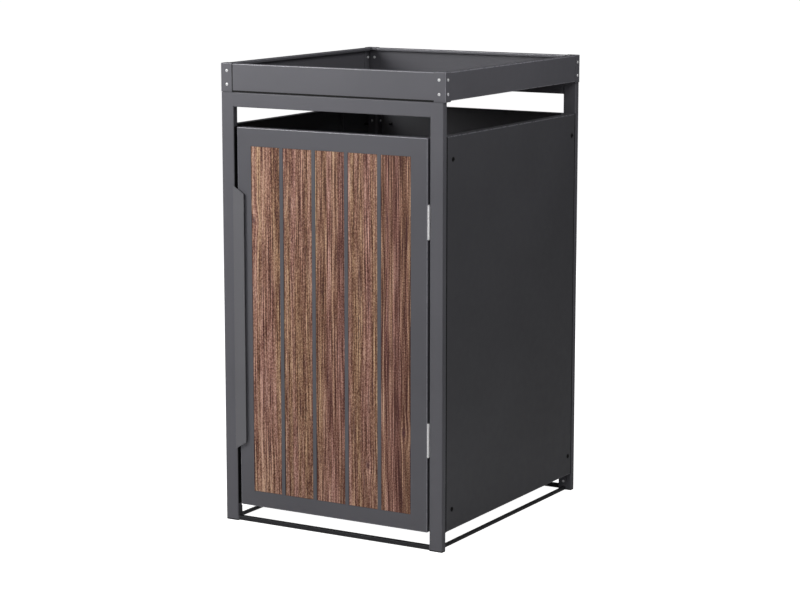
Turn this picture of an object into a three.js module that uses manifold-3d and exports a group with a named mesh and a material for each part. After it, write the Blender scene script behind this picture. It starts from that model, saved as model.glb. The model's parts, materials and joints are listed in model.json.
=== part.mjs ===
// Single wheelie-bin store: a steel tube frame with sheet panels, a hinged door with five wood-look planks,
// and an open planter tray on top. Millimetres, +Z up, door facing -Y. The origin is on the ground, under the
// middle of the whole object's box.
import * as THREE from 'three';
import { mergeVertices } from 'three/addons/utils/BufferGeometryUtils.js';
import Module from 'manifold-3d';

const wasm = await Module();
wasm.setup();

// Overall sizes
const WIDTH = 706; // over the posts, side to side
const DEPTH = 806; // over the posts, front to back
const HEIGHT = 1300; // ground to the top of the tray
const GAP = 0.3; // between pieces that touch

// Frame
const TUBE = { wide: 40, deep: 20, wall: 1.5, corner: 2.5 };
const CROSS_TUBE = { wide: 12, deep: 15, wall: 1.2, corner: 1.5 }; // front and rear base rails, 12 high
const SIDE_TUBE = { wide: 8, deep: 10, wall: 1.2, corner: 1.5 }; // side base rails, 10 high
const BASE_LIFT = 1.5; // base rails above the ground
const CAP_PLATE = 3; // thickness of a foot cap
const CAP_PLUG = 14; // how far a foot cap's plug reaches into its post
const REAR_RAIL_HIGH = 35; // the rear top rail is less high than the front one

// Panels
const PANEL_BOTTOM = 52;
const PANEL_TOP = 1129;
const PANEL_INSET = 0.5; // side panel faces behind the outer faces of the posts
const BACK_INSET = 4; // back panel face behind the rear faces of the posts
const PANEL_FLANGE = 25; // depth of the folded edges
const SHEET = 1.5;
const BOLT_FROM_FRONT = 34; // from a panel's vertical edge to its bolts
const BOLT_FROM_REAR = 22;
const BOLT_FROM_BOTTOM = 58; // from a panel's bottom edge to its lower bolts
const BOLT_FROM_TOP = 62; // from a panel's top edge to its upper bolts
const BOLT = { head: 6.5, rise: 3, shank: 3, length: 12, clearance: 0.4 };
const RIB = { y: 634, crown: 17, foot: 9, deep: 9, sheet: 1.2 }; // hat-shaped rib inside each side panel

// Tray
const TRAY_HEIGHT = 80;
const TRAY_PROUD = 4; // tray wider than the posts, each side
const TRAY_SETBACK = 5; // tray shorter than the posts, front and back
const TRAY_FLANGE = 20; // folded rim and foot of each board
const TRAY_LIP = 8; // turned-down edge of the rim
const BOARD_DROP = 1; // boards below the top of the corner pieces
const BOARD_LIFT = 2.5; // shadow gap under the boards, which hang between the corner pieces
const CORNER_LEG_X = 36;
const CORNER_LEG_Y = 28;
const TONGUE = { setback: 0.3, foot: 4, head: 10, corner: 6 }; // board ends that run on behind the corner pieces
const RIVET = { radius: 3.4, rise: 1, inX: 20, inY: 13, upper: 21, lower: 59 }; // inX, inY: from the corner
const DRAIN_RADIUS = 6;

// Door
const DOOR_GAP_LEFT = 11;
const DOOR_GAP_RIGHT = 7;
const DOOR_BOTTOM = 50;
const DOOR_TOP = 1125;
const DOOR_SKIN = 2;
const DOOR_DEEP = 25;
const DOOR_LIP = 15;
const PLANK_COUNT = 5;
const PLANK_PITCH = 104.4;
const PLANK = { wide: 92, rear: 99, bottom: 95, top: 1073, face: 0.5, thick: 8 };
const PLANK_START = 46; // door's left edge to the first plank
const WINDOW_CLEARANCE = 0.5;
const BATTEN = { high: 30, thick: 3 };

// Handle, hinges and catch
// overhang: how far the flange runs over the gap beside the door
const HANDLE = { sheet: 2, standoff: 8, flange: 35, overhang: 8.2, reach: 18, bottom: 212, top: 962, chamfer: 22 };
const HINGE = { high: 90, radius: 3.2, bore: 1.8, pin: 1.5, leaf: 1.2, reach: 18, neck: 3.8, split: 0.4 };
const HINGE_BOTTOMS = [262, 856];
const CATCH = { middle: 700, high: 60, sheet: 2, reach: 34, back: 46 };
const MAGNET = { wide: 14, thick: 8, high: 46 };
const STRIKE = { wide: 12, thick: 1, high: 50 };

// Worked out from the sizes above
const HALF = WIDTH / 2;
const BAY_HALF = HALF - TUBE.wide; // middle to the inner face of a post
const FRAME_TOP = HEIGHT - TRAY_HEIGHT;
const DOOR_LEFT = -BAY_HALF + DOOR_GAP_LEFT;
const DOOR_RIGHT = BAY_HALF - DOOR_GAP_RIGHT;
const HINGE_X = DOOR_RIGHT + DOOR_GAP_RIGHT / 2;
const FRONT_Y = -(DEPTH - HANDLE.standoff) / 2; // puts the middle of the whole depth on the origin

const paint = (color) => new THREE.MeshStandardMaterial({ color, roughness: 0.55, metalness: 0.3 });
const MATERIAL = {
  frame: paint(0x606064),
  panel: paint(0x3c3c3f),
  tray: paint(0x606064),
  door: paint(0x5c5c60),
  handle: paint(0x6a6a6e),
  wood: new THREE.MeshStandardMaterial({ color: 0x80604e, roughness: 0.6, metalness: 0 }),
  steel: new THREE.MeshStandardMaterial({ color: 0xb8b8bc, roughness: 0.3, metalness: 1 }),
  black: new THREE.MeshStandardMaterial({ color: 0x161618, roughness: 0.5, metalness: 0 }),
};

// The store is built with x from its middle, y back from the front face of the posts, and z from the ground.
const store = new THREE.Group();
store.position.set(0, FRONT_Y, 0);
const door = new THREE.Group();
store.add(door);

function addMesh(name, geometry, material, parent = store) {
  const mesh = new THREE.Mesh(geometry, material);
  mesh.name = name;
  parent.add(mesh);
  return mesh;
}

// A box between two corners.
function block([x0, y0, z0], [x1, y1, z1]) {
  const geometry = new THREE.BoxGeometry(x1 - x0, y1 - y0, z1 - z0);
  return geometry.translate((x0 + x1) / 2, (y0 + y1) / 2, (z0 + z1) / 2);
}

// A round bar from a point along +X, +Y or +Z.
function bar(axis, radius, length, [x, y, z], sides = 16) {
  const geometry = new THREE.CylinderGeometry(radius, radius, length, sides).translate(0, length / 2, 0);
  if (axis === 'x') geometry.rotateZ(-Math.PI / 2);
  if (axis === 'z') geometry.rotateX(Math.PI / 2);
  return geometry.translate(x, y, z);
}

function toSolid(geometry) {
  const bare = geometry.clone();
  bare.deleteAttribute('normal');
  bare.deleteAttribute('uv');
  const merged = mergeVertices(bare);
  return new wasm.Manifold(new wasm.Mesh({
    numProp: 3,
    vertProperties: new Float32Array(merged.attributes.position.array),
    triVerts: new Uint32Array(merged.index.array),
  }));
}

function toGeometry(solid) {
  const mesh = solid.getMesh();
  const geometry = new THREE.BufferGeometry();
  geometry.setAttribute('position', new THREE.BufferAttribute(mesh.vertProperties, 3));
  geometry.setIndex(new THREE.BufferAttribute(mesh.triVerts, 1));
  geometry.computeVertexNormals();
  return geometry;
}

// Joins the first list of geometries and cuts the second list out of them.
function combine(joined, cuts = []) {
  let solid = toSolid(joined[0]);
  for (const piece of joined.slice(1)) solid = solid.add(toSolid(piece));
  for (const piece of cuts) solid = solid.subtract(toSolid(piece));
  return toGeometry(solid);
}

function roundedRectangle(path, wide, deep, corner) {
  const x = wide / 2;
  const y = deep / 2;
  path.moveTo(-x + corner, -y);
  path.lineTo(x - corner, -y);
  path.absarc(x - corner, -y + corner, corner, -Math.PI / 2, 0, false);
  path.lineTo(x, y - corner);
  path.absarc(x - corner, y - corner, corner, 0, Math.PI / 2, false);
  path.lineTo(-x + corner, y);
  path.absarc(-x + corner, y - corner, corner, Math.PI / 2, Math.PI, false);
  path.lineTo(-x, -y + corner);
  path.absarc(-x + corner, -y + corner, corner, Math.PI, Math.PI * 1.5, false);
  return path;
}

function roundedBar(wide, deep, corner, length) {
  const shape = roundedRectangle(new THREE.Shape(), wide, deep, corner);
  return new THREE.ExtrudeGeometry(shape, { depth: length, bevelEnabled: false, curveSegments: 3 });
}

// Rectangular tube, standing on z = 0, open at both ends.
function tube({ wide, deep, wall, corner }, length) {
  const shape = roundedRectangle(new THREE.Shape(), wide, deep, corner);
  const hole = roundedRectangle(new THREE.Path(), wide - 2 * wall, deep - 2 * wall, corner - wall / 2);
  shape.holes.push(hole);
  return new THREE.ExtrudeGeometry(shape, { depth: length, bevelEnabled: false, curveSegments: 3 });
}

// An outline extruded upwards from z = 0.
function prism(points, length) {
  const shape = new THREE.Shape(points.map(([x, y]) => new THREE.Vector2(x, y)));
  return new THREE.ExtrudeGeometry(shape, { depth: length, bevelEnabled: false });
}

// ---- Frame ----

const CORNERS = [
  { name: 'front_left', side: -1, back: 0, seamX: 3, seamY: 1.5 },
  { name: 'front_right', side: 1, back: 0, seamX: 0.4, seamY: 0.4 },
  { name: 'rear_left', side: -1, back: 1, seamX: 1.5, seamY: 1.5 },
  { name: 'rear_right', side: 1, back: 1, seamX: 1.5, seamY: 1.5 },
];

function postPlace({ side, back }) {
  return [side * (HALF - TUBE.wide / 2), back ? DEPTH - TUBE.deep / 2 : TUBE.deep / 2];
}

function makePosts() {
  for (const corner of CORNERS) {
    const [x, y] = postPlace(corner);
    const bottom = CAP_PLATE + GAP;
    const post = addMesh(`post_${corner.name}`, tube(TUBE, FRAME_TOP - bottom), MATERIAL.frame);
    post.position.set(x, y, bottom);

    const plugWide = TUBE.wide - 2 * TUBE.wall - 2 * GAP;
    const plugDeep = TUBE.deep - 2 * TUBE.wall - 2 * GAP;
    const plate = roundedBar(TUBE.wide, TUBE.deep, TUBE.corner, CAP_PLATE);
    const plug = roundedBar(plugWide, plugDeep, TUBE.corner, CAP_PLUG);
    const cap = addMesh(`foot_cap_${corner.name}`, combine([plate, plug]), MATERIAL.black);
    cap.position.set(x, y, 0);
  }
}

function makeTopRails() {
  const length = 2 * BAY_HALF - 2 * GAP;
  const rails = [['front', TUBE.deep / 2, TUBE.wide], ['rear', DEPTH - TUBE.deep / 2, REAR_RAIL_HIGH]];
  for (const [name, y, high] of rails) {
    const rail = addMesh(`top_rail_${name}`, tube({ ...TUBE, wide: high }, length), MATERIAL.frame);
    rail.rotation.y = Math.PI / 2;
    rail.position.set(-length / 2, y, FRAME_TOP - high / 2);
  }
}

function makeCrossBaseRails() {
  const length = 2 * BAY_HALF - 2 * GAP;
  for (const [name, y] of [['front', TUBE.deep / 2], ['rear', DEPTH - TUBE.deep / 2]]) {
    const rail = addMesh(`base_rail_${name}`, tube(CROSS_TUBE, length), MATERIAL.frame);
    rail.rotation.y = Math.PI / 2;
    rail.position.set(-length / 2, y, BASE_LIFT + CROSS_TUBE.wide / 2);
  }
}

function makeSideBaseRails() {
  const length = DEPTH - 2 * TUBE.deep - 2 * GAP;
  for (const [name, side] of [['left', -1], ['right', 1]]) {
    const rail = addMesh(`base_rail_${name}`, tube(SIDE_TUBE, length), MATERIAL.frame);
    rail.rotation.x = -Math.PI / 2;
    rail.position.set(side * (HALF - TUBE.wide / 2), TUBE.deep + GAP, BASE_LIFT + SIDE_TUBE.deep / 2);
  }
}

// ---- Panels and their bolts ----

// A button-head bolt whose head stands out along +Z from z = 0.
function boltGeometry() {
  const crown = [];
  const steps = 3;
  for (let i = 0; i <= steps; i += 1) {
    const angle = (i / steps) * (Math.PI / 2);
    crown.push(new THREE.Vector2(BOLT.head * Math.cos(angle), BOLT.rise * Math.sin(angle)));
  }
  crown[steps].x = 0;
  const profile = [
    new THREE.Vector2(0, -BOLT.length),
    new THREE.Vector2(BOLT.shank, -BOLT.length),
    new THREE.Vector2(BOLT.shank, GAP),
    new THREE.Vector2(BOLT.head, GAP),
    ...crown.slice(1),
  ];
  return new THREE.LatheGeometry(profile, 12).rotateX(Math.PI / 2);
}

const BOLT_ROWS = [['lower', PANEL_BOTTOM + BOLT_FROM_BOTTOM], ['upper', PANEL_TOP - BOLT_FROM_TOP]];

function makeSidePanels() {
  const y0 = TUBE.deep + GAP;
  const y1 = DEPTH - TUBE.deep - GAP;
  const boltColumns = [['front', y0 + BOLT_FROM_FRONT], ['rear', y1 - BOLT_FROM_REAR]];
  for (const [name, side] of [['left', -1], ['right', 1]]) {
    const outer = HALF - PANEL_INSET;
    const span = (a, b) => [Math.min(side * a, side * b), Math.max(side * a, side * b)];
    const [x0, x1] = span(outer, outer - PANEL_FLANGE);
    const [p0, p1] = span(outer - SHEET, outer - PANEL_FLANGE - 1);
    const pan = block([x0, y0, PANEL_BOTTOM], [x1, y1, PANEL_TOP]);
    const pocket = block([p0, y0 + SHEET, PANEL_BOTTOM + SHEET], [p1, y1 - SHEET, PANEL_TOP - SHEET]);
    const holes = [];
    for (const [row, z] of BOLT_ROWS) {
      for (const [column, y] of boltColumns) {
        const [h0] = span(outer + 1, outer - SHEET - 1);
        holes.push(bar('x', BOLT.shank + BOLT.clearance, SHEET + 2, [h0, y, z], 12));
        const bolt = addMesh(`bolt_${name}_${column}_${row}`, boltGeometry(), MATERIAL.black);
        bolt.rotation.y = side * Math.PI / 2;
        bolt.position.set(side * outer, y, z);
      }
    }
    addMesh(`side_panel_${name}`, combine([pan], [pocket, ...holes]), MATERIAL.panel);
  }
}

function makeBackPanel() {
  const outer = DEPTH - BACK_INSET;
  const x1 = BAY_HALF - GAP;
  const pan = block([-x1, outer - PANEL_FLANGE, PANEL_BOTTOM], [x1, outer, PANEL_TOP]);
  const pocketHalf = x1 - SHEET;
  const pocket = block(
    [-pocketHalf, outer - PANEL_FLANGE - 1, PANEL_BOTTOM + SHEET],
    [pocketHalf, outer - SHEET, PANEL_TOP - SHEET],
  );
  const holes = [];
  for (const [row, z] of BOLT_ROWS) {
    for (const [column, x] of [['left', -x1 + BOLT_FROM_FRONT], ['right', x1 - BOLT_FROM_FRONT]]) {
      holes.push(bar('y', BOLT.shank + BOLT.clearance, SHEET + 2, [x, outer - SHEET - 1, z], 12));
      const bolt = addMesh(`bolt_back_${column}_${row}`, boltGeometry(), MATERIAL.black);
      bolt.rotation.x = -Math.PI / 2;
      bolt.position.set(x, outer, z);
    }
  }
  addMesh('back_panel', combine([pan], [pocket, ...holes]), MATERIAL.panel);
}

// Vertical hat-shaped ribs that stiffen the side panels from inside.
function makeRibs() {
  const c = RIB.crown / 2;
  const s = RIB.sheet;
  const f = c + RIB.foot;
  const d = RIB.deep;
  const outline = [
    [0, -f], [s, -f], [s, -c], [d, -c], [d, c], [s, c], [s, f], [0, f],
    [0, c - s], [d - s, c - s], [d - s, -c + s], [0, -c + s],
  ];
  const bottom = PANEL_BOTTOM + SHEET + GAP;
  const length = PANEL_TOP - SHEET - GAP - bottom;
  for (const [name, side] of [['left', -1], ['right', 1]]) {
    const rib = addMesh(`panel_rib_${name}`, prism(outline, length), MATERIAL.panel);
    rib.rotation.z = side > 0 ? Math.PI : 0;
    rib.position.set(side * (HALF - PANEL_INSET - SHEET - GAP), RIB.y, bottom);
  }
}

// ---- Tray ----

const TRAY_HALF = HALF + TRAY_PROUD;
const TRAY_FRONT = TRAY_SETBACK;
const TRAY_BACK = DEPTH - TRAY_SETBACK;
const TRAY_BOTTOM = FRAME_TOP + GAP;
const BOARD_BOTTOM = TRAY_BOTTOM + BOARD_LIFT;

// C-shaped board lying along +X from x = 0, its face on y = 0 and its rim and foot turned towards +Y.
function boardGeometry(length, tongueStart, tongueEnd) {
  const high = HEIGHT - BOARD_DROP - BOARD_BOTTOM;
  const f = TRAY_FLANGE;
  const s = SHEET;
  const outline = [
    [0, 0], [f, 0], [f, s], [s, s], [s, high - s], [f - s, high - s],
    [f - s, high - TRAY_LIP], [f, high - TRAY_LIP], [f, high], [0, high],
  ];
  const profile = prism(outline, length);
  // (outline x, outline y, extrusion) becomes (y, z, x)
  profile.applyMatrix4(new THREE.Matrix4().set(0, 0, 1, 0, 1, 0, 0, 0, 0, 1, 0, 0, 0, 0, 0, 1));
  const inner = s + TONGUE.setback;
  const joggle = s * 2;
  const strip = (x0, x1, y0) => block([x0, y0, TONGUE.foot], [x1, inner + s, high - TONGUE.head]);
  return combine([
    profile,
    strip(-tongueStart, joggle, inner),
    strip(0, joggle, s / 2),
    strip(length - joggle, length + tongueEnd, inner),
    strip(length - joggle, length, s / 2),
  ]);
}

function makeBoards() {
  const [frontLeft, frontRight, rearLeft, rearRight] = CORNERS;
  const xBoard = (left, right) => {
    const start = -TRAY_HALF + CORNER_LEG_X + left.seamX;
    const end = TRAY_HALF - CORNER_LEG_X - right.seamX;
    const reach = CORNER_LEG_X - TONGUE.corner;
    return { start, geometry: boardGeometry(end - start, reach + left.seamX, reach + right.seamX) };
  };
  const yBoard = (near, far) => {
    const start = TRAY_FRONT + CORNER_LEG_Y + near.seamY;
    const end = TRAY_BACK - CORNER_LEG_Y - far.seamY;
    const reach = CORNER_LEG_Y - TONGUE.corner;
    return { start, end, geometry: boardGeometry(end - start, reach + near.seamY, reach + far.seamY) };
  };

  const front = xBoard(frontLeft, frontRight);
  addMesh('tray_board_front', front.geometry, MATERIAL.tray).position.set(front.start, TRAY_FRONT, BOARD_BOTTOM);

  const rear = xBoard(rearRight, rearLeft);
  const rearMesh = addMesh('tray_board_rear', rear.geometry, MATERIAL.tray);
  rearMesh.rotation.z = Math.PI;
  rearMesh.position.set(-rear.start, TRAY_BACK, BOARD_BOTTOM);

  const right = yBoard(frontRight, rearRight);
  const rightMesh = addMesh('tray_board_right', right.geometry, MATERIAL.tray);
  rightMesh.rotation.z = Math.PI / 2;
  rightMesh.position.set(TRAY_HALF, right.start, BOARD_BOTTOM);

  const left = yBoard(rearLeft, frontLeft);
  const leftMesh = addMesh('tray_board_left', left.geometry, MATERIAL.tray);
  leftMesh.rotation.z = -Math.PI / 2;
  leftMesh.position.set(-TRAY_HALF, DEPTH - left.start, BOARD_BOTTOM);
}

// Corner piece for the front-left corner, with the outer corner at the origin; the others are mirrored.
function cornerSolids() {
  const high = HEIGHT - TRAY_BOTTOM;
  const lx = CORNER_LEG_X;
  const ly = CORNER_LEG_Y;
  const s = SHEET;
  const f = TRAY_FLANGE;
  const solids = [
    block([0, 0, 0], [lx, s, high]),
    block([0, 0, 0], [s, ly, high]),
    block([0, 0, high - s], [lx, f, high]),
    block([0, 0, high - s], [f, ly, high]),
    block([f - s, f - s, high - TRAY_LIP], [lx, f, high]),
    block([f - s, f - s, high - TRAY_LIP], [f, ly, high]),
  ];
  for (const drop of [RIVET.upper, RIVET.lower]) {
    solids.push(bar('y', RIVET.radius, RIVET.rise + s, [RIVET.inX, -RIVET.rise, high - drop], 12));
    solids.push(bar('x', RIVET.radius, RIVET.rise + s, [-RIVET.rise, RIVET.inY, high - drop], 12));
  }
  return solids;
}

function makeTrayCorners() {
  for (const { name, side, back } of CORNERS) {
    const mirrored = cornerSolids().map((solid) => mirror(solid, side > 0, back > 0));
    const corner = addMesh(`tray_corner_${name}`, combine(mirrored), MATERIAL.tray);
    corner.position.set(side * TRAY_HALF, back ? TRAY_BACK : TRAY_FRONT, TRAY_BOTTOM);
  }
}

// Mirrors a geometry in x, in y, or in both, and keeps its faces pointing out.
function mirror(geometry, inX, inY) {
  const flipped = geometry.scale(inX ? -1 : 1, inY ? -1 : 1, 1);
  if (inX !== inY) {
    const index = flipped.index.array;
    for (let i = 0; i < index.length; i += 3) {
      [index[i], index[i + 1]] = [index[i + 1], index[i]];
    }
  }
  return flipped;
}

// Flat sheet on the feet of the boards, with a row of drain holes along each side.
function makeTrayFloor() {
  const clear = SHEET * 2 + TONGUE.setback + GAP * 2;
  const x = TRAY_HALF - clear;
  const y0 = TRAY_FRONT + clear;
  const y1 = TRAY_BACK - clear;
  const bottom = BOARD_BOTTOM + SHEET + GAP;
  const sheet = block([-x, y0, bottom], [x, y1, bottom + SHEET]);
  const holes = [];
  for (const fx of [-0.6, 0, 0.6]) {
    for (const fy of [0.2, 0.5, 0.8]) {
      holes.push(bar('z', DRAIN_RADIUS, SHEET + 2, [fx * x, y0 + fy * (y1 - y0), bottom - 1], 12));
    }
  }
  addMesh('tray_floor', combine([sheet], holes), MATERIAL.tray);
}

// ---- Door ----

function plankLeft(i) {
  return DOOR_LEFT + PLANK_START + i * PLANK_PITCH;
}

// One folded sheet: face, four returns and rear lips, with a window for each plank.
function makeDoorFrame() {
  const s = DOOR_SKIN;
  const shell = block([DOOR_LEFT, 0, DOOR_BOTTOM], [DOOR_RIGHT, DOOR_DEEP, DOOR_TOP]);
  const hollow = block(
    [DOOR_LEFT + s, s, DOOR_BOTTOM + s],
    [DOOR_RIGHT - s, DOOR_DEEP - s, DOOR_TOP - s],
  );
  const mouth = block(
    [DOOR_LEFT + DOOR_LIP, DOOR_DEEP - s - 1, DOOR_BOTTOM + DOOR_LIP],
    [DOOR_RIGHT - DOOR_LIP, DOOR_DEEP + 1, DOOR_TOP - DOOR_LIP],
  );
  const windows = [];
  for (let i = 0; i < PLANK_COUNT; i += 1) {
    const x = plankLeft(i);
    const c = WINDOW_CLEARANCE;
    windows.push(block([x - c, -1, PLANK.bottom - c], [x + PLANK.wide + c, s + 1, PLANK.top + c]));
  }
  addMesh('door_frame', combine([shell], [hollow, mouth, ...windows]), MATERIAL.door, door);
}

// A plank fills its window and has wider shoulders behind the door's face.
function makePlanks() {
  const shoulder = (PLANK.rear - PLANK.wide) / 2;
  const split = DOOR_SKIN + GAP;
  const back = PLANK.face + PLANK.thick;
  for (let i = 0; i < PLANK_COUNT; i += 1) {
    const x = plankLeft(i);
    const right = x + PLANK.wide;
    const face = block([x, PLANK.face, PLANK.bottom], [right, back, PLANK.top]);
    const rear = block(
      [x - shoulder, split, PLANK.bottom - shoulder],
      [right + shoulder, back, PLANK.top + shoulder],
    );
    addMesh(`plank_${i + 1}`, combine([face, rear]), MATERIAL.wood, door);
  }
}

function makeBattens() {
  const y = PLANK.face + PLANK.thick + GAP;
  const inset = DOOR_SKIN + GAP;
  const span = PLANK.top - PLANK.bottom;
  const heights = { lower: 0.12, middle: 0.5, upper: 0.88 };
  for (const [name, fraction] of Object.entries(heights)) {
    const z = PLANK.bottom + fraction * span;
    const batten = block(
      [DOOR_LEFT + inset, y, z - BATTEN.high / 2],
      [DOOR_RIGHT - inset, y + BATTEN.thick, z + BATTEN.high / 2],
    );
    addMesh(`plank_batten_${name}`, batten, MATERIAL.door, door);
  }
}

// Edge pull: a web on the door's left return and a flange with sloped ends, over the door's edge and the gap.
function makeHandle() {
  const outer = DOOR_LEFT - GAP - HANDLE.sheet;
  const left = outer - HANDLE.overhang;
  const web = block(
    [outer, -HANDLE.standoff, HANDLE.bottom + HANDLE.chamfer],
    [outer + HANDLE.sheet, HANDLE.reach, HANDLE.top - HANDLE.chamfer],
  );
  const outline = [
    [left, HANDLE.bottom],
    [left + HANDLE.flange, HANDLE.bottom + HANDLE.chamfer],
    [left + HANDLE.flange, HANDLE.top - HANDLE.chamfer],
    [left, HANDLE.top],
  ];
  const flange = prism(outline, HANDLE.sheet).rotateX(Math.PI / 2).translate(0, HANDLE.sheet - HANDLE.standoff, 0);
  addMesh('handle', combine([web, flange]), MATERIAL.handle, door);
}

// ---- Hinges ----

// Leaf and knuckles of one hinge half. The leaf lies beside the axis at x0 to x1, between bottom and top, and the
// knuckles are [from, to] pairs on the axis.
function hingeHalf(x0, x1, bottom, knuckles) {
  const leaf = block([x0, HINGE.neck, bottom], [x1, HINGE.reach, bottom + HINGE.high]);
  const joined = [leaf];
  const bores = [];
  for (const [from, to] of knuckles) {
    joined.push(bar('z', HINGE.radius, to - from, [HINGE_X, 0, from]));
    joined.push(block([x0, 0, from], [x1, HINGE.neck + 1, to]));
    bores.push(bar('z', HINGE.bore, to - from + 2, [HINGE_X, 0, from - 1]));
  }
  return combine(joined, bores);
}

function makeHinges() {
  HINGE_BOTTOMS.forEach((bottom, i) => {
    const name = i === 0 ? 'lower' : 'upper';
    const third = HINGE.high / 3;
    const doorLeaf = DOOR_RIGHT + GAP;
    const frameLeaf = BAY_HALF - GAP - HINGE.leaf;
    const top = bottom + HINGE.high;
    const frameKnuckles = [[bottom, bottom + third - HINGE.split], [top - third + HINGE.split, top]];
    const doorKnuckle = [[bottom + third, top - third]];
    const frameHalf = hingeHalf(frameLeaf, frameLeaf + HINGE.leaf, bottom, frameKnuckles);
    addMesh(`hinge_frame_leaf_${name}`, frameHalf, MATERIAL.steel);
    const doorHalf = hingeHalf(doorLeaf, doorLeaf + HINGE.leaf, bottom, doorKnuckle);
    addMesh(`hinge_door_leaf_${name}`, doorHalf, MATERIAL.steel, door);
    const shaft = bar('z', HINGE.pin, HINGE.high + 4, [HINGE_X, 0, bottom - 2]);
    const heads = [bottom - 2, top + GAP].map((z) => bar('z', HINGE.radius - 0.5, 2 - GAP, [HINGE_X, 0, z]));
    addMesh(`hinge_pin_${name}`, combine([shaft, ...heads]), MATERIAL.steel);
  });
}

// ---- Catch ----

function makeCatch() {
  const z0 = CATCH.middle - CATCH.high / 2;
  const z1 = CATCH.middle + CATCH.high / 2;
  const x = -BAY_HALF + GAP;
  const doorBack = DOOR_DEEP + GAP;
  const plateFront = doorBack + STRIKE.thick + GAP + MAGNET.thick + GAP;
  const side = block([x, 1, z0], [x + CATCH.sheet, CATCH.back, z1]);
  const plate = block([x, plateFront, z0], [x + CATCH.reach, plateFront + CATCH.sheet, z1]);
  const lug = block([x, plateFront, z0], [x + CATCH.sheet, CATCH.back, z1]);
  const bracket = combine([side, plate, lug]);
  addMesh('catch_bracket', bracket, MATERIAL.frame);

  const magnetRight = x + CATCH.reach;
  const magnet = block(
    [magnetRight - MAGNET.wide, plateFront - GAP - MAGNET.thick, CATCH.middle - MAGNET.high / 2],
    [magnetRight, plateFront - GAP, CATCH.middle + MAGNET.high / 2],
  );
  addMesh('catch_magnet', magnet, MATERIAL.black);

  const strikeLeft = magnetRight - (MAGNET.wide + STRIKE.wide) / 2;
  const strike = block(
    [strikeLeft, doorBack, CATCH.middle - STRIKE.high / 2],
    [strikeLeft + STRIKE.wide, doorBack + STRIKE.thick, CATCH.middle + STRIKE.high / 2],
  );
  addMesh('catch_strike', strike, MATERIAL.steel, door);
}

makePosts();
makeTopRails();
makeCrossBaseRails();
makeSideBaseRails();
makeSidePanels();
makeBackPanel();
makeRibs();
makeBoards();
makeTrayCorners();
makeTrayFloor();
makeDoorFrame();
makePlanks();
makeBattens();
makeHandle();
makeHinges();
makeCatch();

export default store;
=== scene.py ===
"""Looks of the single wheelie-bin store: finishes, rounded sheet folds, fasteners, welds, light and camera.

Everything is in metres, in the part's own frame: +Z up, the door facing -Y, the ground at z = 0.
"""
import json
import math

import bmesh
import bpy
from mathutils import Matrix, Vector

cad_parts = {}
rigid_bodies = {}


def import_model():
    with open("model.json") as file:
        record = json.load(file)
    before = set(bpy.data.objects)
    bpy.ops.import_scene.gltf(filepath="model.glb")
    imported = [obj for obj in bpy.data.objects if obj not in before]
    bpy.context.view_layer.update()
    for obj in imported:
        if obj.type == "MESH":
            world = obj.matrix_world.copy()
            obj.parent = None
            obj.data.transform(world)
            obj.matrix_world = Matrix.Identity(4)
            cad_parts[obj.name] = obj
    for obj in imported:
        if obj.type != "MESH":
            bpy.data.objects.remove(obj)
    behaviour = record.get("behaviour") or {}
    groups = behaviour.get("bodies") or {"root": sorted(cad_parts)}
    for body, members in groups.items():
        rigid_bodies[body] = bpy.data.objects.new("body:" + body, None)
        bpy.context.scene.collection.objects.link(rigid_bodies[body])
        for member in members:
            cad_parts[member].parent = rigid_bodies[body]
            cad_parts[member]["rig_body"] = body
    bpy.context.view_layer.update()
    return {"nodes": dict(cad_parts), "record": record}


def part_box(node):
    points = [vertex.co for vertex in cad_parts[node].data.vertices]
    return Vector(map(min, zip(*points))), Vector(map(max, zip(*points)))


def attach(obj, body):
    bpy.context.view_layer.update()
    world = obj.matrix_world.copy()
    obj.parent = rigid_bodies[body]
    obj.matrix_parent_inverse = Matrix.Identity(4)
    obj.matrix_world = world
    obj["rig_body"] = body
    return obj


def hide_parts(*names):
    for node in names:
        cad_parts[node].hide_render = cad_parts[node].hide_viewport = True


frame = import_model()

SCENE = bpy.context.scene
NODES = frame["nodes"]
RECORD = frame["record"]

# Camera
AZIMUTH = math.radians(30.38)
ELEVATION = math.radians(9.84)
DISTANCE = 6.748
LENS = 105.3
SENSOR = 36.0
AIM = Vector((-0.0075, -0.0091, 0.6062))

# Sheet metal and edges
FOLD_RADIUS = 0.0025
SHEET = 0.0015
DOOR_SKIN = 0.002
CUT_EDGE = 0.00025  # edge break on cut sheet, tube ends and fittings
PLANK_EDGE = 0.0006
FOLD_SEGMENTS = 4
FOLD_HIGHLIGHT = 1.9  # how much lighter the coat is painted along the outside of a fold, as a painted highlight
SHARP = math.radians(40)
BEVELLED = math.radians(50)

# Tray rivets, from a corner of the tray
RIVET_DISC = 0.001  # how far the CAD disc stands out from the corner piece
RIVET_IN_X = 0.020
RIVET_IN_Y = 0.013
RIVET_DROPS = {"upper": 0.021, "lower": 0.059}
RIVET_INNER_DROP = 0.031  # the rear corners also have a pair of rivets set from inside
RIVET_HIDDEN = 0.0016  # shank of a rivet whose far end stays inside the wall
TRAY_WALL = 0.0033  # corner piece, gap and board together

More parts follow.
